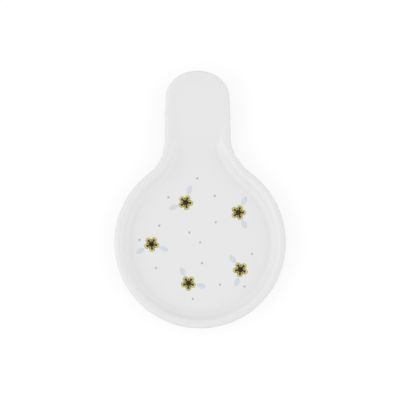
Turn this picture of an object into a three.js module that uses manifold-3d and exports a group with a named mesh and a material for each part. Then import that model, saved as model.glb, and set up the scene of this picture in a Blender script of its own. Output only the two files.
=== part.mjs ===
// A glazed stoneware spoon rest: a round shallow pan that runs out into a broad flat handle.
// The body is one casting that stands on a foot ring. Glaze covers it all but the bottom of that
// ring, and the pan's floor carries a print of five flowers and a scatter of dots.
// Millimetres, +Z up, +Y along the handle, origin on the table under the middle of the outline.

import * as THREE from 'three';
import { LoftGeometry } from 'three/addons/geometries/LoftGeometry.js';
import { mergeVertices } from 'three/addons/utils/BufferGeometryUtils.js';
import Module from 'manifold-3d';

const wasm = await Module();
wasm.setup();

// Plan outline
const PAN_DIAMETER = 140;
const HANDLE_LENGTH = 70; // from the pan's edge to the tip
const HANDLE_WIDTH = 52; // across the root of its end
const HANDLE_FLARE = THREE.MathUtils.degToRad(1.6); // lean of each side out towards the neck
const HANDLE_END_DEPTH = 21.2; // depth of the half oval that ends the handle
const HANDLE_OFFSET = 2; // the handle's axis lies this far left of the pan's middle
const NECK_FILLET = 35.5; // hollow curve between the pan and the handle

// Section
const FOOT_HEIGHT = 2.4;
const FLOOR_THICKNESS = 5.6;
const PAN_DEPTH = 7;
const WALL_RUN = 14; // from the outer edge in to the flat of the floor
const RIM_RADIUS = 3.2; // round of the rim, whose crest lies this far in from the edge
const LEAST_FLAT = 4; // half width of flat that a narrow stretch keeps beside its centre line
const WALL_COVE = 0.42; // how far out the floor's curve keeps low, as a share of the wall's run
const WALL_SHOULDER = 0.45; // how far in the rim's curve keeps high
const BELLY_COVE = 0.45; // the same for the curve under the wall
const BELLY_DROP = 0.6; // how straight the outside falls from the rim, in rim radii
const RAMP_SETBACK = 7; // from the edge of the pan's flat to where the floor starts to climb
const RAMP_LENGTH = 29; // over which it climbs to the handle
const HANDLE_RISE = 6; // from the pan's rim to the tip of the handle
const HANDLE_DISH = 0.8; // how far the handle's flat lies below its edge

// Foot ring and glaze
const FOOT_INSET = 22; // from the pan's edge in to the foot ring
const FOOT_WIDTH = 5;
const FOOT_ROUND = 0.6; // worn edge of the foot's bottom
const GLAZE_THICKNESS = 0.4;
const BARE_FOOT = 0.8; // height of bare clay above the table

// Print
const PRINT_THICKNESS = 0.1;
const PRINT_MARGIN = 1.8; // clear space round each part of the print
const FLOWER_DIAMETER = 12.4;
const NOTCH_DIAMETER = 6.6; // across the notches between the petals
const PETAL_COUNT = 5;
const EYE_DIAMETER = 4.4;
const LEAF_LENGTH = 8;
const LEAF_WIDTH = 4.4;
const LEAF_GAP = 0.4; // between the petals and the leaves
const LEAF_SPREAD = THREE.MathUtils.degToRad(128); // angle between a flower's two leaves
const PETAL_BREADTH = 0.8; // how broad the petals' tips are, as a share of their room
const FLOWER_SPACING = 15; // between the reach of one flower and the next
const FLOWER_STAGGER = 5; // every second flower lies this much nearer to the middle
const FIRST_FLOWER = THREE.MathUtils.degToRad(38);
const DOT_DIAMETER = 1.8;
const DOT_SPACING = 12; // dot n of the scatter lies this times the root of n from the middle
const GOLDEN_ANGLE = Math.PI * (3 - Math.sqrt(5));

// Fineness of the facets
const FRONT_STEPS = 13;
const SHOULDER_STEPS = 8;
const FILLET_STEPS = 10;
const SIDE_STEPS = 3;
const END_STEPS = 6;
const WALL_STEPS = 5;
const RIM_STEPS = 3;
const UNDERSIDE_STEPS = 5;
const FOOT_SEGMENTS = 48;
const PRINT_STEPS = 7;
const WELD = 1e-4; // points closer than this are one

// Worked out from the sizes above
const panRadius = PAN_DIAMETER / 2;
const tipY = (PAN_DIAMETER + HANDLE_LENGTH) / 2;
const panY = panRadius - tipY;
const endY = tipY - HANDLE_END_DEPTH;
const handleHalf = HANDLE_WIDTH / 2;
const floorRadius = panRadius - WALL_RUN;
const floorTop = FOOT_HEIGHT + FLOOR_THICKNESS;
const rimTop = floorTop + PAN_DEPTH;
const neckStart = panY + floorRadius;
const rampStart = neckStart + RAMP_SETBACK;

const mix = THREE.MathUtils.lerp;

// Heights along the length

function rimHeight(y) {
  const along = THREE.MathUtils.clamp((y - rampStart) / (tipY - rampStart), 0, 1);
  return rimTop + HANDLE_RISE * along * along;
}

function flatHeight(y) {
  const climb = THREE.MathUtils.smoothstep(y, rampStart, rampStart + RAMP_LENGTH);
  return mix(floorTop, rimHeight(y) - HANDLE_DISH, climb);
}

// The plan moves over to the handle's axis along the neck.
function moveOver(y) {
  return HANDLE_OFFSET * THREE.MathUtils.smoothstep(y, neckStart, neckStart + RAMP_LENGTH);
}

// Ribs: each runs from a point of the outline, square to it, in to the centre line.
// The right half is walked from the front of the pan to the tip of the handle and then mirrored.

function outlineRibs() {
  const pan = new THREE.Vector2(0, panY);
  const down = new THREE.Vector2(Math.sin(HANDLE_FLARE), -Math.cos(HANDLE_FLARE));
  const outwards = new THREE.Vector2(Math.cos(HANDLE_FLARE), Math.sin(HANDLE_FLARE));

  // The oval end takes over from the side where the two point the same way.
  const takeover = Math.atan((HANDLE_END_DEPTH / handleHalf) * Math.tan(HANDLE_FLARE));
  const end = new THREE.EllipseCurve(0, endY, handleHalf, HANDLE_END_DEPTH, takeover, Math.PI / 2);
  const sideTop = end.getPoint(0);

  // The fillet touches the pan's circle and the side, at most as far up as the side's top.
  const fromPan = sideTop.clone().sub(pan);
  const widestFillet =
    (fromPan.lengthSq() - panRadius ** 2) / (2 * (panRadius - fromPan.dot(outwards)));
  const fillet = Math.min(NECK_FILLET, widestFillet);
  const highest = fromPan.clone().addScaledVector(outwards, fillet);
  const nearing = -highest.dot(down);
  const sideLength =
    nearing - Math.sqrt(nearing ** 2 - highest.lengthSq() + (panRadius + fillet) ** 2);
  const filletCentre = highest.addScaledVector(down, sideLength).add(pan);
  const meeting = Math.atan2(filletCentre.y - panY, filletCentre.x);
  const sideFoot = sideTop.clone().addScaledVector(down, sideLength);

  const front = new THREE.EllipseCurve(0, panY, panRadius, panRadius, -Math.PI / 2, 0);
  const shoulder = new THREE.EllipseCurve(0, panY, panRadius, panRadius, 0, meeting);
  const neck = new THREE.EllipseCurve(
    filletCentre.x, filletCentre.y, fillet, fillet, meeting + Math.PI, Math.PI + HANDLE_FLARE, true,
  );
  const side = new THREE.LineCurve(sideFoot, sideTop);

  const awayFromFillet = (p) =>
    filletCentre.y + ((p.y - filletCentre.y) * filletCentre.x) / (filletCentre.x - p.x);
  const squareToSide = (p) => p.y - p.x * Math.tan(HANDLE_FLARE);
  const right = [
    ...ribsAlong(front, FRONT_STEPS, () => panY),
    ...ribsAlong(shoulder, SHOULDER_STEPS, () => panY),
    ...ribsAlong(neck, FILLET_STEPS, awayFromFillet),
    ...ribsAlong(side, SIDE_STEPS, squareToSide),
    ...ribsAlong(end, END_STEPS, () => endY),
  ];
  const tip = { edge: new THREE.Vector2(0, tipY), root: new THREE.Vector2(0, endY) };
  const left = right.slice(1).reverse().map(mirrored);
  return [...right, tip, ...left];
}

function ribsAlong(curve, steps, rootY) {
  return Array.from({ length: steps }, (_, k) => {
    const edge = curve.getPoint(k / steps);
    return { edge, root: new THREE.Vector2(0, rootY(edge)) };
  });
}

function mirrored({ edge, root }) {
  return { edge: new THREE.Vector2(-edge.x, edge.y), root };
}

// Section along one rib, from the centre line out over the wall and the rim and back underneath.
// Inset is the distance in from the edge. Skin moves the whole section inwards, under the glaze.

function bezier(t, a, b, c, d) {
  const s = 1 - t;
  return s * s * s * a + 3 * s * s * t * b + 3 * s * t * t * c + t * t * t * d;
}

function sectionOf(rib, skin) {
  const length = rib.edge.distanceTo(rib.root);
  const reach = Math.min(WALL_RUN, length - LEAST_FLAT);
  const points = [];

  const add = (inset, heightAt) => {
    const plan = rib.edge.clone().lerp(rib.root, inset / length);
    points.push(new THREE.Vector3(plan.x - moveOver(plan.y), plan.y, heightAt(plan.y)));
  };
  const flat = (y) => flatHeight(y) - skin;
  const underside = (y) => flatHeight(y) - FLOOR_THICKNESS + skin;
  const rimCentre = (y) => rimHeight(y) - RIM_RADIUS;
  const besideWall = reach + LEAST_FLAT / 2; // keeps the flat true up to the wall

  add(length, flat);
  add(besideWall, flat);
  for (let k = 0; k < WALL_STEPS; k++) {
    const t = k / WALL_STEPS;
    const inset = mix(RIM_RADIUS, reach, bezier(t, 1, WALL_COVE, WALL_SHOULDER, 0));
    const climb = bezier(t, 0, 0, 1, 1);
    add(inset, (y) => mix(flatHeight(y), rimHeight(y), climb) - skin);
  }
  for (let k = 0; k < RIM_STEPS; k++) {
    const turn = (k / RIM_STEPS) * (Math.PI / 2);
    const radius = RIM_RADIUS - skin;
    add(RIM_RADIUS - radius * Math.sin(turn), (y) => rimCentre(y) + radius * Math.cos(turn));
  }
  for (let k = 0; k < UNDERSIDE_STEPS; k++) {
    const t = k / UNDERSIDE_STEPS;
    const depth = (rimHeight(rib.edge.y) - flatHeight(rib.edge.y)) / PAN_DEPTH;
    const cove = mix(RIM_RADIUS, reach, BELLY_COVE * depth);
    add(bezier(t, skin, skin, cove, reach), (y) => {
      const drop = rimCentre(y) - RIM_RADIUS * BELLY_DROP;
      return bezier(t, rimCentre(y), drop, underside(y), underside(y));
    });
  }
  add(reach, underside);
  add(besideWall, underside);
  add(length, underside);
  return points;
}

// Solids

function solidOf(geometry) {
  const bare = new THREE.BufferGeometry();
  bare.setAttribute('position', geometry.getAttribute('position'));
  bare.setIndex(geometry.index);
  const merged = mergeVertices(bare, WELD);
  const corners = merged.index.array;
  const triangles = [];
  for (let i = 0; i < corners.length; i += 3) {
    const [a, b, c] = corners.slice(i, i + 3);
    if (a !== b && b !== c && c !== a) triangles.push(a, b, c);
  }
  return new wasm.Manifold(
    new wasm.Mesh({
      numProp: 3,
      vertProperties: merged.getAttribute('position').array,
      triVerts: new Uint32Array(triangles),
    }),
  );
}

function geometryOf(solid) {
  const mesh = solid.getMesh();
  const geometry = new THREE.BufferGeometry();
  geometry.setAttribute('position', new THREE.BufferAttribute(mesh.vertProperties, 3));
  geometry.setIndex(new THREE.BufferAttribute(mesh.triVerts, 1));
  geometry.computeVertexNormals();
  return geometry;
}

function dish(skin) {
  const sections = outlineRibs().map((rib) => sectionOf(rib, skin));
  return solidOf(new LoftGeometry([...sections, sections[0]], { closed: false }));
}

// A turned solid under the pan, from a closed profile of [radius, height] corners.
function turned(profile) {
  const corners = [...profile, profile[0]].map(([r, z]) => new THREE.Vector2(r, z));
  const geometry = new THREE.LatheGeometry(corners, FOOT_SEGMENTS);
  return solidOf(geometry.rotateX(Math.PI / 2).translate(0, panY, 0));
}

const footOuter = panRadius - FOOT_INSET;
const footInner = footOuter - FOOT_WIDTH;
const footRoot = floorTop - 2 * GLAZE_THICKNESS; // the foot's wall runs up inside the floor to here

function footCore() {
  const outer = footOuter - GLAZE_THICKNESS;
  const inner = footInner + GLAZE_THICKNESS;
  return turned([
    [inner + FOOT_ROUND, 0],
    [outer - FOOT_ROUND, 0],
    [outer, FOOT_ROUND],
    [outer, footRoot],
    [inner, footRoot],
    [inner, FOOT_ROUND],
  ]);
}

function glazedFoot() {
  return turned([
    [footInner, BARE_FOOT],
    [footOuter, BARE_FOOT],
    [footOuter, footRoot],
    [footInner, footRoot],
  ]);
}

// The space inside the middle of the foot ring's wall, up into the floor.
function footWell() {
  const middle = (footOuter + footInner) / 2;
  return turned([
    [0, -FOOT_HEIGHT],
    [middle, -FOOT_HEIGHT],
    [middle, footRoot],
    [0, footRoot],
  ]);
}

// Materials

const finish = (color, roughness) =>
  new THREE.MeshStandardMaterial({ color, roughness, metalness: 0 });
const stoneware = finish(0xcfc6b8, 0.85);
const whiteGlaze = finish(0xe6e6e5, 0.15);
const yellowInk = finish(0xdfca62, 0.3);
const charcoalInk = finish(0x35332d, 0.3);
const paleBlueInk = finish(0xcfd9e4, 0.3);
const greyInk = finish(0xb4b5b6, 0.3);

// Body and glaze

const spoonRest = new THREE.Group();
spoonRest.name = 'spoon_rest';

function addPart(name, geometry, material, parent) {
  const mesh = new THREE.Mesh(geometry, material);
  mesh.name = name;
  parent.add(mesh);
  return mesh;
}

const body = dish(GLAZE_THICKNESS).add(footCore());
const glaze = dish(0).add(glazedFoot()).subtract(body);
addPart('stoneware_body', geometryOf(body), stoneware, spoonRest);
addPart('glaze_coat', geometryOf(glaze.subtract(footWell())), whiteGlaze, spoonRest);
addPart('underside_glaze', geometryOf(glaze.intersect(footWell())), whiteGlaze, spoonRest);

// Print on the pan's floor

const polar = (radius, angle) =>
  new THREE.Vector2(radius * Math.cos(angle), radius * Math.sin(angle));

function printed(shape) {
  return new THREE.ExtrudeGeometry(shape, {
    depth: PRINT_THICKNESS,
    bevelEnabled: false,
    curveSegments: PRINT_STEPS,
  });
}

function petalShape() {
  const notch = NOTCH_DIAMETER / 2;
  const half = Math.PI / PETAL_COUNT;
  const lean = half * PETAL_BREADTH;
  // A cubic's middle takes an eighth of each end and three eighths of each handle.
  const tip = FLOWER_DIAMETER / 2;
  const bulge = (tip - (2 / 8) * notch * Math.cos(half)) / ((6 / 8) * Math.cos(lean));
  const shape = new THREE.Shape();
  shape.moveTo(...polar(notch, -half));
  for (let k = 0; k < PETAL_COUNT; k++) {
    const middle = 2 * half * k;
    shape.bezierCurveTo(
      ...polar(bulge, middle - lean),
      ...polar(bulge, middle + lean),
      ...polar(notch, middle + half),
    );
  }
  return shape;
}

function leafShape() {
  const shape = new THREE.Shape();
  shape.quadraticCurveTo(LEAF_LENGTH / 2, LEAF_WIDTH, LEAF_LENGTH, 0);
  shape.quadraticCurveTo(LEAF_LENGTH / 2, -LEAF_WIDTH, 0, 0);
  return shape;
}

function discShape(diameter) {
  return new THREE.Shape().absarc(0, 0, diameter / 2, 0, 2 * Math.PI);
}

const print = new THREE.Group();
print.position.set(0, panY, floorTop);
spoonRest.add(print);

const leafStart = FLOWER_DIAMETER / 2 + LEAF_GAP;
const flowerReach = leafStart + LEAF_LENGTH;
const ringRadius = floorRadius - PRINT_MARGIN - flowerReach;
const flowerPitch = 2 * flowerReach + FLOWER_SPACING;
const flowerCount = Math.max(1, Math.floor((2 * Math.PI * ringRadius) / flowerPitch));
const taken = []; // circles that the flowers and leaves fill, which the dots keep clear of

function addFlower(k) {
  const flower = new THREE.Group();
  const radius = ringRadius - FLOWER_STAGGER * (k % 2);
  const place = polar(radius, FIRST_FLOWER + (k * 2 * Math.PI) / flowerCount);
  const turn = k * GOLDEN_ANGLE;
  flower.position.set(place.x, place.y, 0);
  flower.rotation.z = turn;
  print.add(flower);
  taken.push({ centre: place, radius: FLOWER_DIAMETER / 2 });

  const name = `flower_${k + 1}`;
  addPart(`${name}_petals`, printed(petalShape()), yellowInk, flower);
  const eye = printed(discShape(EYE_DIAMETER));
  addPart(`${name}_eye`, eye, charcoalInk, flower).position.z = PRINT_THICKNESS;

  for (const [side, way] of [['left', 1], ['right', -1]]) {
    const angle = (way * LEAF_SPREAD) / 2;
    const start = polar(leafStart, angle);
    const leaf = printed(leafShape());
    const mesh = addPart(`${name}_${side}_leaf`, leaf, paleBlueInk, flower);
    mesh.position.set(start.x, start.y, 0);
    mesh.rotation.z = angle;
    const middle = polar(leafStart + LEAF_LENGTH / 2, turn + angle).add(place);
    taken.push({ centre: middle, radius: LEAF_LENGTH / 2 });
  }
}

function addDots() {
  const field = floorRadius - PRINT_MARGIN - DOT_DIAMETER / 2;
  const room = PRINT_MARGIN + DOT_DIAMETER / 2;
  let count = 0;
  for (let n = 0; DOT_SPACING * Math.sqrt(n) < field; n++) {
    const place = polar(DOT_SPACING * Math.sqrt(n), n * GOLDEN_ANGLE);
    const blocked = taken.some((t) => t.centre.distanceTo(place) < t.radius + room);
    if (blocked) continue;
    count += 1;
    const name = `dot_${String(count).padStart(2, '0')}`;
    const dot = addPart(name, printed(discShape(DOT_DIAMETER)), greyInk, print);
    dot.position.set(place.x, place.y, 0);
  }
}

for (let k = 0; k < flowerCount; k++) addFlower(k);
addDots();

export default spoonRest;
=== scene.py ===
# %% [markdown]
# # A glazed stoneware spoon rest
# The part is a white spoon rest with a round pan, a broad flat handle and a foot ring under the pan. The
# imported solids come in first. They are the frame: every piece below is made from a solid, sits where
# that solid sits and stands for it, so the looks can't drift away from the model that gets simulated.

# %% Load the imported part
import cmath
import math

import bmesh
import bpy
from mathutils import Matrix, Vector


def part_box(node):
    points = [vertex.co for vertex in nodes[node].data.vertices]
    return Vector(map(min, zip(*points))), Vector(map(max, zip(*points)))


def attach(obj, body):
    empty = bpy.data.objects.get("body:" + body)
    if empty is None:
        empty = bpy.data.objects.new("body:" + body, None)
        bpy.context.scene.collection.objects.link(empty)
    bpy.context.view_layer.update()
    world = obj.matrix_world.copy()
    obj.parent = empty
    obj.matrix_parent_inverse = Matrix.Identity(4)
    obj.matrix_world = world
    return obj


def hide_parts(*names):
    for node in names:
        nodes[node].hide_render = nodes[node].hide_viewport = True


MM = 0.001

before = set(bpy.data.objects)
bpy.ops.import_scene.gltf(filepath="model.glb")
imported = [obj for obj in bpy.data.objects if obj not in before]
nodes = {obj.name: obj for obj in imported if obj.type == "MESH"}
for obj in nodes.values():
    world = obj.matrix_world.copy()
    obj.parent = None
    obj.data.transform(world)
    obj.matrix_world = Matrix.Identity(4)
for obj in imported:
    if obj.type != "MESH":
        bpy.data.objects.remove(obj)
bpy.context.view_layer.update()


def in_mm(vector):
    """The sides of a vector in millimetres, for printing."""
    return [round(side / MM, 2) for side in vector]


# %% [markdown]
# ## Camera
# The photograph looks straight down on the rest. A camera could be moved by eye until it fits. Here it
# is worked out instead: the pan's width in pixels gives the scale, and the pan's middle in pixels the
# place. The scale holds at the height where the rim is widest, which is read from the glaze's solid. A
# long lens from far away keeps the higher handle from looking larger than the pan.

# %% Camera
PHOTO_PIXELS = 400
PAN_PIXELS = 172.0
PAN_PIXEL_X = 200.15
PAN_PIXEL_Y = 242.5
CAMERA_DISTANCE = 3.0
CLIP_START = 0.01
CLIP_END = 20.0

coat_low, coat_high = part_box("glaze_coat")
pan_radius = (coat_high.x - coat_low.x) / 2
pan_middle = Vector((0, coat_low.y + pan_radius, 0))
rim_widest = max(nodes["glaze_coat"].data.vertices, key=lambda vertex: vertex.co.x).co.z
pixel = 2 * pan_radius / PAN_PIXELS
aside = (PHOTO_PIXELS / 2 - PAN_PIXEL_X) * pixel
along = (PAN_PIXEL_Y - PHOTO_PIXELS / 2) * pixel

lens = bpy.data.cameras.new("camera")
lens.angle = 2 * math.atan(PHOTO_PIXELS * pixel / 2 / CAMERA_DISTANCE)
lens.clip_start = CLIP_START
lens.clip_end = CLIP_END
camera = bpy.data.objects.new("camera", lens)
camera.location = pan_middle + Vector((aside, along, rim_widest + CAMERA_DISTANCE))
bpy.context.scene.collection.objects.link(camera)
bpy.context.scene.camera = camera
bpy.context.scene.view_settings.view_transform = "Standard"
print("camera at", in_mm(camera.location), "mm, one pixel is", round(pixel / MM, 4), "mm")

# %% [markdown]
# ## Helpers for nodes
# A procedural material is a small machine of nodes. Four kinds of part turn up in every one below: a
# node with some sockets set, a sum, a range mapped to another and a blend of two colours. A short
# function for each keeps the materials readable. A value may be a plain number or the output of another
# node. A Mix node has a set of sockets for each kind of data, so the colour ones are found by their
# number.

# %% Helpers for nodes
MIX_SHARE = 0
MIX_FIRST_COLOUR = 6
MIX_SECOND_COLOUR = 7
MIX_COLOUR_RESULT = 2


def feed(tree, socket, source):
    """Sets a socket to a plain value, or links it to another node's output."""
    if isinstance(source, bpy.types.NodeSocket):
        tree.links.new(source, socket)
    else:
        socket.default_value = source


def put(tree, kind, **sources):
    """A new node of that kind, with the named inputs fed."""
    node = tree.nodes.new(kind)
    for name, source in sources.items():
        feed(tree, node.inputs[name], source)
    return node


def sums(tree, operation, first, second=0.0):
    """The result of one arithmetic node."""
    node = tree.nodes.new("ShaderNodeMath")
    node.operation = operation
    feed(tree, node.inputs[0], first)
    feed(tree, node.inputs[1], second)
    return node.outputs[0]


def plus(tree, first, second):
    """The two values added."""
    return sums(tree, "ADD", first, second)


def times(tree, first, second):
    """The two values multiplied."""
    return sums(tree, "MULTIPLY", first, second)


def larger(tree, first, second):
    """The larger of the two values."""
    return sums(tree, "MAXIMUM", first, second)


def ramp(tree, source, low, high, start=0.0, end=1.0):
    """Maps low..high to start..end, smoothly, and holds the ends."""
    node = put(tree, "ShaderNodeMapRange", Value=source)
    node.interpolation_type = "SMOOTHSTEP"
    for name, value in (("From Min", low), ("From Max", high), ("To Min", start), ("To Max", end)):
        node.inputs[name].default_value = value
    return node.outputs["Result"]


def blend(tree, share, first, second):
    """The first colour where share is 0, and the second where it is 1."""
    node = tree.nodes.new("ShaderNodeMix")
    node.data_type = "RGBA"
    feed(tree, node.inputs[MIX_SHARE], share)
    feed(tree, node.inputs[MIX_FIRST_COLOUR], first)
    feed(tree, node.inputs[MIX_SECOND_COLOUR], second)
    return node.outputs[MIX_COLOUR_RESULT]


print("node helpers ready")

# %% [markdown]
# ## Helpers for materials
# A pattern needs a place to be drawn at. Here that is the Object coordinate, which stays put when a
# modifier changes the mesh. Two textures are enough for ceramics: a soft noise for washes and ripples,
# and a Voronoi texture for spots, whose distance is 0 in the heart of each cell and grows outwards.

# %% Helpers for materials
def new_material(name):
    """A material, its node tree and its shader."""
    material = bpy.data.materials.new(name)
    material.use_nodes = True
    return material, material.node_tree, material.node_tree.nodes["Principled BSDF"]


def grey(value):
    """A neutral colour."""
    return (value, value, value, 1)


def object_place(tree):
    """The place on the part, in metres."""
    return tree.nodes.new("ShaderNodeTexCoord").outputs["Object"]


def attribute(tree, name):
    """A number that the mesh stores at each vertex."""
    node = tree.nodes.new("ShaderNodeAttribute")
    node.attribute_name = name
    return node.outputs["Fac"]


def cloud(tree, place, lumps, detail):
    """Soft noise from 0 to 1, with about that many lumps to the metre."""
    return put(tree, "ShaderNodeTexNoise", Vector=place, Scale=lumps, Detail=detail).outputs[0]


def spots(tree, place, cells):
    """The distance from the heart of a spot, with about that many spots to the metre."""
    return put(tree, "ShaderNodeTexVoronoi", Vector=place, Scale=cells).outputs["Distance"]


def emboss(tree, shader, height, strength, depth):
    """Gives the shader a bump from a pattern of heights."""
    bump = put(tree, "ShaderNodeBump", Height=height, Strength=strength, Distance=depth)
    feed(tree, shader.inputs["Normal"], bump.outputs["Normal"])


print("material helpers ready")

# %% [markdown]
# ## Floor
# The photograph shows the rest on plain white. A floor that is lit until it is white would throw that
# light back on the object. So the floor is a plain matt plane that also glows, as a light table does,
# and a ray that comes from the camera, or that a glossy surface sends on, meets more of that glow than
# the light that falls on the object. The floor comes out white, and it still keeps a trace of the
# shadow.

# %% Floor
FLOOR_HALF = 4.0
FLOOR_ALBEDO = 0.28
FLOOR_GLOW = 0.29
FLOOR_SEEN_GLOW = 0.74


def seen_rays(tree):
    """Is 1 for rays from the camera, from a reflection or through glass, and 0 for the light that falls."""
    path = tree.nodes.new("ShaderNodeLightPath")
    seen = larger(tree, path.outputs["Is Camera Ray"], path.outputs["Is Glossy Ray"])
    return larger(tree, seen, path.outputs["Is Transmission Ray"])


floor_mesh = bmesh.new()
bmesh.ops.create_grid(floor_mesh, x_segments=1, y_segments=1, size=FLOOR_HALF)
floor_data = bpy.data.meshes.new("floor")
floor_mesh.to_mesh(floor_data)
floor_mesh.free()
floor = bpy.data.objects.new("floor", floor_data)
bpy.context.scene.collection.objects.link(floor)

floor_material, tree, shader = new_material("floor")
glow = ramp(tree, seen_rays(tree), 0, 1, FLOOR_GLOW, FLOOR_SEEN_GLOW)
shader.inputs["Base Color"].default_value = grey(FLOOR_ALBEDO)
shader.inputs["Roughness"].default_value = 1
shader.inputs["Specular IOR Level"].default_value = 0
shader.inputs["Emission Color"].default_value = grey(1)
feed(tree, shader.inputs["Emission Strength"], glow)
floor_data.materials.append(floor_material)
print("floor of", 2 * FLOOR_HALF, "m")

# %% [markdown]
# ## Light tent
# The shading in the photograph is very soft and comes from both sides, as in a light tent with a lamp
# behind each side. Area lamps could stand in for the tent, but their crisp outlines draw bright lines
# into the hollow of a glossy wall. So the tent itself is the sky: an even glow on its walls, less
# overhead and near the table, and two wide soft patches where the lamps shine through. A patch fades
# with the angle from its middle, which is the dot product of two directions raised to a power. Heights
# here are the Z of a direction, from 0 at the horizon to 1 overhead. What the camera and the reflections
# see of the tent is plain white, with a dim opening for the lens overhead, so the backdrop needs no more
# light on the object.

# %% Light tent
TENT_WALL = 0.63
TENT_ROOF = 0.35
TENT_FOOT = 0.7
FOOT_ENDS = 0.4
ROOF_STARTS = 0.6
ROOF_FULL = 0.9
PATCH_HEIGHT = math.radians(30)
PATCH_FADE = 3.0
PATCHES = {math.pi: 1.1, 0: 1.08}
BACKDROP = 1.0
OPENING = 0.1


def direction_to(bearing, height):
    """The direction at a bearing, seen from above, and at an angle above the horizon."""
    flat = Vector((math.cos(bearing), math.sin(bearing), 0))
    return flat * math.cos(height) + Vector((0, 0, math.sin(height)))


world = bpy.data.worlds.new("light_tent")
world.use_nodes = True
bpy.context.scene.world = world
tree = world.node_tree
direction = tree.nodes.new("ShaderNodeTexCoord").outputs["Generated"]
height = put(tree, "ShaderNodeSeparateXYZ", Vector=direction).outputs["Z"]
light = ramp(tree, height, ROOF_STARTS, ROOF_FULL, TENT_WALL, TENT_ROOF)
for bearing, strength in PATCHES.items():
    facing = tree.nodes.new("ShaderNodeVectorMath")
    facing.operation = "DOT_PRODUCT"
    feed(tree, facing.inputs[0], direction)
    feed(tree, facing.inputs[1], direction_to(bearing, PATCH_HEIGHT))
    fade = sums(tree, "POWER", larger(tree, facing.outputs["Value"], 0.0), PATCH_FADE)
    light = plus(tree, light, times(tree, fade, strength))
light = times(tree, light, ramp(tree, height, 0, FOOT_ENDS, TENT_FOOT, 1))
backdrop = ramp(tree, height, ROOF_STARTS, ROOF_FULL, BACKDROP, OPENING)
tent = put(tree, "ShaderNodeMix", Factor=seen_rays(tree), A=light, B=backdrop)
feed(tree, tree.nodes["Background"].inputs["Strength"], tent.outputs[0])
feed(tree, tree.nodes["Background"].inputs["Color"], grey(1))
print("light tent with", len(PATCHES), "lit patches")

# %% [markdown]
# ## Softbox
# A sky this soft would leave the glaze looking matt. One large softbox on the left, a little to the
# front, adds the reflection that shows a surface is glassy: a soft bright line along the wall and the
# rim, and a sheen where the floor of the pan is seen from low down. It carries only a small part of the
# light.

# %% Softbox
SOFTBOX_BEARING = math.radians(205)
SOFTBOX_HEIGHT = math.radians(38)
SOFTBOX_DISTANCE = 1.2
SOFTBOX_WIDTH = 1.2
SOFTBOX_TALL = 0.9
SOFTBOX_POWER = 1.0

lamp = bpy.data.lights.new("softbox", "AREA")
lamp.shape = "RECTANGLE"
lamp.size = SOFTBOX_WIDTH
lamp.size_y = SOFTBOX_TALL
lamp.energy = SOFTBOX_POWER
softbox = bpy.data.objects.new("softbox", lamp)
toward = direction_to(SOFTBOX_BEARING, SOFTBOX_HEIGHT)
softbox.location = pan_middle + toward * SOFTBOX_DISTANCE
softbox.rotation_euler = toward.to_track_quat("Z", "Y").to_euler()
bpy.context.scene.collection.objects.link(softbox)
print("softbox at", in_mm(softbox.location), "mm")

# %% [markdown]
# ## Copies of the solids
# Slip-cast ware has no flat facets: the pan's wall, the rim and the neck flow into each other. The
# solids are faceted, so each is copied and its loose triangles are merged. Rounding would also melt the
# crisp lines at the foot, so edges that turn sharply are creased first. The copy also keeps, at every
# vertex, how far it stands out from its neighbours: glaze runs thin on a crest and gathers in a hollow,
# and the material needs to know which is which. It also uses this to paint shade into the hollows.

# %% Copies of the solids
WELD = 0.002 * MM
SHARP = math.radians(38)
CREASE_LAYER = "crease_edge"
CREST_ATTRIBUTE = "crest"


def merged_copy(name):
    """A bmesh of a solid's triangles, joined at their corners."""
    mesh = bmesh.new()
    mesh.from_mesh(nodes[name].data)
    bmesh.ops.remove_doubles(mesh, verts=mesh.verts, dist=WELD)
    return mesh


def hold_sharp_edges(mesh):
    """Creases the edges that turn sharply, so that rounding keeps them, and counts them."""
    crease = mesh.edges.layers.float.new(CREASE_LAYER)
    held = [edge for edge in mesh.edges if edge.calc_face_angle(0) > SHARP]
    for edge in held:
        edge[crease] = 1
    return len(held)


def mark_crests(mesh):
    """Stores how far each vertex stands out of the middle of its neighbours, over their distance."""
    crest = mesh.verts.layers.float.new(CREST_ATTRIBUTE)
    mesh.normal_update()
    for vertex in mesh.verts:
        around = [edge.other_vert(vertex).co for edge in vertex.link_edges]
        middle = sum(around, Vector()) / len(around)
        reach = sum((point - vertex.co).length for point in around) / len(around)
        vertex[crest] = (vertex.co - middle).dot(vertex.normal) / reach


print("edges that turn by more than", round(math.degrees(SHARP)), "degrees are held")

# %% [markdown]
# ## Rounded pieces
# A finished copy becomes a piece: it rides on the part, stands for its solid and takes the finish of one
# material slot. More facets in the solid could make it smooth too, but they would weigh on every use of
# the part. So a Subdivision Surface rounds the copy here. It works best on quads, so the cast and glazed
# copies first have their triangles joined in pairs.

# %% Rounded pieces
QUAD_ANGLE = math.radians(40)
ROUND_LEVELS = 2


def finish_piece(mesh, name, material, stands_for):
    """Turns a bmesh into a rounded piece that rides on the part and stands for its solid."""
    data = bpy.data.meshes.new(name)
    mesh.to_mesh(data)
    mesh.free()
    data.polygons.foreach_set("use_smooth", [True] * len(data.polygons))
    data.materials.append(material)
    piece = bpy.data.objects.new(name, data)
    bpy.context.scene.collection.objects.link(piece)
    rounding = piece.modifiers.new("rounding", "SUBSURF")
    rounding.levels = ROUND_LEVELS
    rounding.render_levels = ROUND_LEVELS
    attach(piece, "root")
    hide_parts(stands_for)


def smooth_copy(node, material):
    """A rounded piece made from one cast or glazed solid."""
    mesh = merged_copy(node)
    bmesh.ops.join_triangles(
        mesh,
        faces=mesh.faces,
        angle_face_threshold=QUAD_ANGLE,
        angle_shape_threshold=math.pi,
    )
    held = hold_sharp_edges(mesh)
    mark_crests(mesh)
    quads = sum(len(face.verts) == 4 for face in mesh.faces)
    print(node, "with", quads, "quads in", len(mesh.faces), "faces and", held, "held edges")
    finish_piece(mesh, node + "_smooth", material, node)


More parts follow.
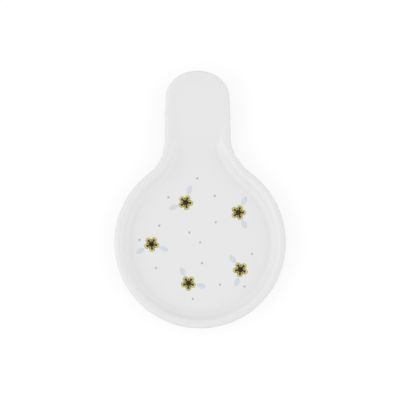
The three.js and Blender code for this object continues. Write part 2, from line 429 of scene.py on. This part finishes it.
print("rounding by", ROUND_LEVELS, "levels")

# %% [markdown]
# ## Colour of the white glaze
# Glossy white glaze is not one flat white. It drifts a little between warm and cool, shows the clay as a
# warm breath where it runs thin on the rim, and looks denser and cooler where it gathers at the foot of
# the wall, where its colour is also made a shade darker as painted shade. One painted colour would look
# like plastic. Here three blends make it, all kept very slight, because the real glaze looks almost even.

# %% Colour of the white glaze
GLAZE_COOL = (0.834, 0.834, 0.837, 1)
GLAZE_WARM = (0.843, 0.841, 0.839, 1)
GLAZE_THIN = (0.840, 0.832, 0.815, 1)
# The hollows' white: cooler for pooled glaze, and a shade darker as painted shade.
GLAZE_POOLED_SHADE = (0.818, 0.820, 0.823, 1)
DRIFT_LUMPS = 24
CREST_STARTS = 0.02
CREST_FULL = 0.2
CREST_SHARE = 0.5


def glaze_colour(tree, place):
    """A drifting white, warmer on the crests, and cooler and darker in the hollows: pooled glaze and
    painted shade.
    """
    crest = attribute(tree, CREST_ATTRIBUTE)
    thin = ramp(tree, crest, CREST_STARTS, CREST_FULL, 0, CREST_SHARE)
    # Hollows take the darker, cooler white: pooled glaze together with painted shade.
    pooled_shade = ramp(tree, crest, -CREST_STARTS, -CREST_FULL, 0, CREST_SHARE)
    colour = blend(tree, cloud(tree, place, DRIFT_LUMPS, detail=3), GLAZE_COOL, GLAZE_WARM)
    colour = blend(tree, thin, colour, GLAZE_THIN)
    return blend(tree, pooled_shade, colour, GLAZE_POOLED_SHADE)


print("glaze drifts over about", round(1 / DRIFT_LUMPS / MM), "mm")

# %% [markdown]
# ## White glaze
# A fired glaze has a faint orange-peel ripple that makes the reflections wander, and its gloss is not
# the same all over. Underneath, where less care is taken, there are also a few pinholes that show the
# clay. The ripple is far too shallow to model, so it is a bump in the material. One function makes both
# glazes, and the underside asks for the pinholes.

# %% White glaze
GLAZE_IOR = 1.52
GLAZE_GLOSSIEST = 0.09
GLAZE_DULLEST = 0.17
GLOSS_LUMPS = 60
NOISE_LOW = 0.3
NOISE_HIGH = 0.7
RIPPLE_LUMPS = 170
RIPPLE_STRENGTH = 0.08
RIPPLE_DEPTH = 0.4 * MM
FINE_LUMPS = 900
FINE_SHARE = 0.12
PIT_CELLS = 160
PIT_EDGE = 0.10
PIT_HEART = 0.04
PIT_CLAY = (0.42, 0.36, 0.29, 1)
PIT_SHARE = 0.5


def glaze_material(name, pinholes):
    """A glossy white glaze, with or without pinholes."""
    material, tree, shader = new_material(name)
    place = object_place(tree)
    colour = glaze_colour(tree, place)
    fine = cloud(tree, place, FINE_LUMPS, detail=2)
    surface = plus(tree, cloud(tree, place, RIPPLE_LUMPS, detail=1), times(tree, fine, FINE_SHARE))
    if pinholes:
        pit = ramp(tree, spots(tree, place, PIT_CELLS), PIT_EDGE, PIT_HEART)
        colour = blend(tree, times(tree, pit, PIT_SHARE), colour, PIT_CLAY)
        surface = sums(tree, "SUBTRACT", surface, pit)
    gloss = cloud(tree, place, GLOSS_LUMPS, detail=3)
    roughness = ramp(tree, gloss, NOISE_LOW, NOISE_HIGH, GLAZE_GLOSSIEST, GLAZE_DULLEST)
    feed(tree, shader.inputs["Base Color"], colour)
    feed(tree, shader.inputs["Roughness"], roughness)
    emboss(tree, shader, surface, RIPPLE_STRENGTH, RIPPLE_DEPTH)
    shader.inputs["IOR"].default_value = GLAZE_IOR
    return material


white_glaze = glaze_material("white_glaze", pinholes=False)
underside_white = glaze_material("underside_white", pinholes=True)
smooth_copy("glaze_coat", white_glaze)
smooth_copy("underside_glaze", underside_white)

# %% [markdown]
# ## Bare stoneware
# The only clay in sight is the bottom of the foot ring, wiped clean so that the rest doesn't stick in
# the kiln. It is matt, sandy and buff, with a few iron specks, and a shade toasted next to the glaze
# line. The glaze line lies at one height all round, so the height alone is enough to place the toasted
# band.

# %% Bare stoneware
CLAY_DARK = (0.50, 0.44, 0.36, 1)
CLAY_PALE = (0.66, 0.60, 0.51, 1)
CLAY_LUMPS = 220
CLAY_ROUGHNESS = 0.85
TOASTED = (0.40, 0.27, 0.16, 1)
TOAST_STARTS = 0.3 * MM
TOAST_FULL = 0.9 * MM
TOAST_SHARE = 0.6
IRON = (0.16, 0.10, 0.07, 1)
SPECK_CELLS = 700
SPECK_EDGE = 0.16
SPECK_HEART = 0.08
SPECK_SHARE = 0.8
GRIT_LUMPS = 1800
GRIT_STRENGTH = 0.5
GRIT_DEPTH = 0.15 * MM

clay, tree, shader = new_material("bare_stoneware")
place = object_place(tree)
up = put(tree, "ShaderNodeSeparateXYZ", Vector=place).outputs["Z"]
toast = ramp(tree, up, TOAST_STARTS, TOAST_FULL, 0, TOAST_SHARE)
speck = ramp(tree, spots(tree, place, SPECK_CELLS), SPECK_EDGE, SPECK_HEART, 0, SPECK_SHARE)
colour = blend(tree, cloud(tree, place, CLAY_LUMPS, detail=4), CLAY_DARK, CLAY_PALE)
colour = blend(tree, toast, colour, TOASTED)
colour = blend(tree, speck, colour, IRON)
feed(tree, shader.inputs["Base Color"], colour)
shader.inputs["Roughness"].default_value = CLAY_ROUGHNESS
emboss(tree, shader, cloud(tree, place, GRIT_LUMPS, detail=3), GRIT_STRENGTH, GRIT_DEPTH)
smooth_copy("stoneware_body", clay)

# %% [markdown]
# ## Printed patches
# The print is a thin layer of ceramic ink, fired on, so each patch of colour stands a hair above the
# glaze. It is drawn like ink and watercolour: the pigment gathers at the edge of a wash and thins in the
# middle. Each patch is a copy of its solid with flat triangles dissolved, then its top is inset, so that
# a narrow band runs all round. The band is marked in an attribute, which the materials read as the
# painted edge. A UV map in millimetres from the motif's middle lets a pattern turn with its motif.

# %% Printed patches
FLAT = math.radians(1)
SOFT_CREASE = 0.5
EDGE_ATTRIBUTE = "edge"
PRINT_UV = "print"


def hold_outline(mesh):
    """Creases the level edges, fully at the bottom and softly at the top."""
    crease = mesh.edges.layers.float.new(CREASE_LAYER)
    bottom = min(vertex.co.z for vertex in mesh.verts)
    for edge in mesh.edges:
        start, end = (vertex.co.z for vertex in edge.verts)
        if abs(start - end) < WELD:
            edge[crease] = 1 if start - bottom < WELD else SOFT_CREASE


def mark_band(mesh, top, width):
    """Insets the top face, and marks all but its inner corners as edge."""
    mark = mesh.verts.layers.float.new(EDGE_ATTRIBUTE)
    for vertex in mesh.verts:
        vertex[mark] = 1
    bmesh.ops.inset_region(mesh, faces=[top], thickness=width, depth=0, use_even_offset=True)
    for vertex in top.verts:
        vertex[mark] = 0


def chart_motif(mesh, middle, turn):
    """Adds a UV map in mm from the motif's middle, with U along the motif's own direction."""
    chart = mesh.loops.layers.uv.new(PRINT_UV)
    turn_back = Matrix.Rotation(-turn, 2)
    for face in mesh.faces:
        for corner in face.loops:
            corner[chart].uv = turn_back @ (corner.vert.co - middle).to_2d() / MM


def printed_patch(node, band, middle, turn, material):
    """A fired patch of ink, with its edge band and the chart of its motif."""
    mesh = merged_copy(node)
    bmesh.ops.dissolve_limit(mesh, angle_limit=FLAT, verts=mesh.verts, edges=mesh.edges)
    top = max(mesh.faces, key=lambda face: face.calc_center_median().z + face.normal.z)
    hold_outline(mesh)
    mark_band(mesh, top, band)
    chart_motif(mesh, middle, turn)
    finish_piece(mesh, node + "_print", material, node)


print("printed patches ready")

# %% [markdown]
# ## Printed inks
# Four inks are used. Every one takes the glaze's gloss, because it is fired into it. The pigment gathers
# at the edge, but never in an even line, so a noise is added to the edge mark before a material reads
# it.

# %% Printed inks
INK_ROUGHNESS = 0.16
RAGGED_LUMPS = 1400
RAGGED_SHARE = 0.8
NOISE_MIDDLE = 0.5


def ink(name):
    """An ink's material, its node tree, its shader and the place on the part."""
    material, tree, shader = new_material(name)
    shader.inputs["Roughness"].default_value = INK_ROUGHNESS
    shader.inputs["IOR"].default_value = GLAZE_IOR
    return material, tree, shader, object_place(tree)


def painted_edge(tree, place):
    """The edge mark, about 1 on the band and 0 inside it, made ragged by a noise."""
    ragged = sums(tree, "SUBTRACT", cloud(tree, place, RAGGED_LUMPS, detail=3), NOISE_MIDDLE)
    return plus(tree, attribute(tree, EDGE_ATTRIBUTE), times(tree, ragged, RAGGED_SHARE))


def motif_place(tree):
    """The distances in mm from the motif's middle, along its own direction and across it."""
    chart = tree.nodes.new("ShaderNodeUVMap")
    chart.uv_map = PRINT_UV
    place = put(tree, "ShaderNodeSeparateXYZ", Vector=chart.outputs["UV"])
    return place.outputs["X"], place.outputs["Y"]


print("ink helpers ready")

# %% [markdown]
# ## Yellow petals
# A petal is a yellow wash, amber near the eye, with dark lines drawn over it: a brush stroke from the
# eye, a crease towards the next petal and an outline. A painted image could carry all that. Here the
# place in the flower draws it, as a radius and an angle: the cosine of the angle times the petal count
# is 1 along the middle of every petal and -1 in every crease. All radii are in millimetres.

# %% Yellow petals
PETALS = 5
YELLOW_DEEP = (0.64, 0.55, 0.12, 1)
YELLOW_PALE = (0.82, 0.76, 0.28, 1)
YELLOW_LUMPS = 420
AMBER = (0.50, 0.33, 0.05, 1)
AMBER_ENDS = 4.2
AMBER_FULL = 1.8
AMBER_SHARE = 0.75
CREASE_BROWN = (0.14, 0.11, 0.05, 1)
CREASE_STARTS = -0.45
CREASE_FULL = -0.95
CREASE_SHARE = 0.85
BRUSH_BLACK = (0.022, 0.020, 0.016, 1)
BRUSH_SHARE = 0.94
STROKE_SIDE = -0.1
STROKE_MIDDLE = 0.55
STROKE_ENDS = 5.5
STROKE_FULL = 4.7
STROKE_LUMPS = 1600
STROKE_RAGGED = 0.9
OUTLINE_STARTS = 0.42
OUTLINE_FULL = 0.62

yellow_ink, tree, shader, place = ink("yellow_ink")
u, v = motif_place(tree)
radius = sums(tree, "SQRT", plus(tree, times(tree, u, u), times(tree, v, v)))
lobe = sums(tree, "COSINE", times(tree, sums(tree, "ARCTAN2", v, u), PETALS))
amber = ramp(tree, radius, AMBER_ENDS, AMBER_FULL, 0, AMBER_SHARE)
crease = ramp(tree, lobe, CREASE_STARTS, CREASE_FULL, 0, CREASE_SHARE)
reach = plus(tree, radius, times(tree, cloud(tree, place, STROKE_LUMPS, detail=2), STROKE_RAGGED))
stroke = ramp(tree, lobe, STROKE_SIDE, STROKE_MIDDLE, 0, BRUSH_SHARE)
stroke = times(tree, stroke, ramp(tree, reach, STROKE_ENDS, STROKE_FULL))
outline = ramp(tree, painted_edge(tree, place), OUTLINE_STARTS, OUTLINE_FULL, 0, BRUSH_SHARE)
colour = blend(tree, cloud(tree, place, YELLOW_LUMPS, detail=4), YELLOW_DEEP, YELLOW_PALE)
colour = blend(tree, amber, colour, AMBER)
colour = blend(tree, crease, colour, CREASE_BROWN)
colour = blend(tree, stroke, colour, BRUSH_BLACK)
colour = blend(tree, outline, colour, BRUSH_BLACK)
feed(tree, shader.inputs["Base Color"], colour)
print("yellow ink from", len(tree.nodes), "nodes")

# %% [markdown]
# ## Charcoal eyes
# The eye of a flower is nearly black, with a few ochre grains of pollen. The grains could be modelled,
# but they are smaller than a pen's dot and flat like the rest of the print. So they are spots, and only
# the heart of each one is coloured.

# %% Charcoal eyes
EYE_DEEP = (0.014, 0.013, 0.011, 1)
EYE_PALE = (0.035, 0.032, 0.027, 1)
EYE_LUMPS = 700
POLLEN = (0.48, 0.36, 0.10, 1)
POLLEN_CELLS = 1100
POLLEN_EDGE = 0.22
POLLEN_HEART = 0.14
POLLEN_SHARE = 0.7

charcoal_ink, tree, shader, place = ink("charcoal_ink")
grain = ramp(tree, spots(tree, place, POLLEN_CELLS), POLLEN_EDGE, POLLEN_HEART, 0, POLLEN_SHARE)
colour = blend(tree, cloud(tree, place, EYE_LUMPS, detail=3), EYE_DEEP, EYE_PALE)
colour = blend(tree, grain, colour, POLLEN)
feed(tree, shader.inputs["Base Color"], colour)
print("charcoal ink from", len(tree.nodes), "nodes")

# %% [markdown]
# ## Pale blue leaves
# A leaf is a thin blue-grey wash with a midrib, side veins and a darker edge. The veins could be cut as
# grooves, but a print is flat, and its veins are only a second touch of the brush. In the leaf's own
# place the midrib is where the distance across is near 0. The side veins are stripes that slant away
# from it: the fraction of a slanted length runs from 0 to 1 again and again, and each vein lies in the
# middle of one run.

# %% Pale blue leaves
LEAF_DEEP = (0.66, 0.71, 0.77, 1)
LEAF_PALE = (0.77, 0.80, 0.84, 1)
LEAF_LUMPS = 380
VEIN_BLUE = (0.47, 0.54, 0.63, 1)
VEIN_SLANT = -1.1
VEINS_PER_MM = 0.8
VEIN_PLACE = 0.5
VEIN_EDGE = 0.09
VEIN_HEART = 0.03
VEIN_SHARE = 0.35
MIDRIB_EDGE = 0.2
MIDRIB_HEART = 0.1
MIDRIB_SHARE = 0.6
LEAF_EDGE_BLUE = (0.51, 0.58, 0.67, 1)
LEAF_EDGE_STARTS = 0.4
LEAF_EDGE_FULL = 0.7
LEAF_EDGE_SHARE = 0.6

pale_blue_ink, tree, shader, place = ink("pale_blue_ink")
u, v = motif_place(tree)
across = sums(tree, "ABSOLUTE", v)
slanted = plus(tree, u, times(tree, across, VEIN_SLANT))
stripe = sums(tree, "FRACT", times(tree, slanted, VEINS_PER_MM))
from_vein = sums(tree, "ABSOLUTE", sums(tree, "SUBTRACT", stripe, VEIN_PLACE))
veins = times(tree, ramp(tree, from_vein, VEIN_EDGE, VEIN_HEART), VEIN_SHARE)
midrib = ramp(tree, across, MIDRIB_EDGE, MIDRIB_HEART, 0, MIDRIB_SHARE)
edge = ramp(tree, painted_edge(tree, place), LEAF_EDGE_STARTS, LEAF_EDGE_FULL, 0, LEAF_EDGE_SHARE)
colour = blend(tree, cloud(tree, place, LEAF_LUMPS, detail=4), LEAF_DEEP, LEAF_PALE)
colour = blend(tree, larger(tree, veins, midrib), colour, VEIN_BLUE)
colour = blend(tree, edge, colour, LEAF_EDGE_BLUE)
feed(tree, shader.inputs["Base Color"], colour)
print("pale blue ink from", len(tree.nodes), "nodes")

# %% [markdown]
# ## Grey dots
# The dots are single touches of a grey brush, a little darker where the drop dried last. Flat discs of
# one grey would do from far off. The same wash and edge as on the leaves keep them alive close up.

# %% Grey dots
DOT_DEEP = (0.44, 0.44, 0.45, 1)
DOT_PALE = (0.56, 0.56, 0.56, 1)
DOT_LUMPS = 900
DOT_EDGE_GREY = (0.38, 0.38, 0.39, 1)
DOT_EDGE_STARTS = 0.3
DOT_EDGE_FULL = 0.8
DOT_EDGE_SHARE = 0.5

grey_ink, tree, shader, place = ink("grey_ink")
edge = ramp(tree, painted_edge(tree, place), DOT_EDGE_STARTS, DOT_EDGE_FULL, 0, DOT_EDGE_SHARE)
colour = blend(tree, cloud(tree, place, DOT_LUMPS, detail=3), DOT_DEEP, DOT_PALE)
colour = blend(tree, edge, colour, DOT_EDGE_GREY)
feed(tree, shader.inputs["Base Color"], colour)
print("grey ink from", len(tree.nodes), "nodes")

# %% [markdown]
# ## Placing the print
# A flower's own pattern has to turn with the flower. The eye gives its middle. The petals' turn is read
# from their outline: the outline points, taken as complex numbers and raised to the power of the petal
# count, add up to one arrow that points along a petal. A leaf's midrib runs from the eye through the
# leaf's middle.

# %% Placing the print
PETAL_BAND = 0.5 * MM
EYE_BAND = 0.3 * MM
LEAF_BAND = 0.3 * MM
DOT_BAND = 0.3 * MM


def middle_of(node):
    """The middle of a solid's box."""
    low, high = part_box(node)
    return (low + high) / 2


def petal_turn(node, middle):
    """The direction of one petal, from the solid's own outline."""
    arms = [complex(*(vertex.co - middle).to_2d()) / MM for vertex in nodes[node].data.vertices]
    return cmath.phase(sum(arm ** PETALS for arm in arms)) / PETALS


def heading(start, end):
    """The direction from start to end seen from above, as an angle."""
    return math.atan2(end.y - start.y, end.x - start.x)


flowers = sorted(name.removesuffix("_eye") for name in nodes if name.endswith("_eye"))
for flower in flowers:
    middle = middle_of(flower + "_eye")
    turn = petal_turn(flower + "_petals", middle)
    printed_patch(flower + "_petals", PETAL_BAND, middle, turn, yellow_ink)
    printed_patch(flower + "_eye", EYE_BAND, middle, turn, charcoal_ink)
    for leaf in (flower + "_left_leaf", flower + "_right_leaf"):
        turn = heading(middle, middle_of(leaf))
        printed_patch(leaf, LEAF_BAND, middle, turn, pale_blue_ink)

dots = sorted(name for name in nodes if name.startswith("dot_"))
for dot in dots:
    printed_patch(dot, DOT_BAND, middle_of(dot), 0, grey_ink)
print("printed", len(flowers), "flowers and", len(dots), "dots")
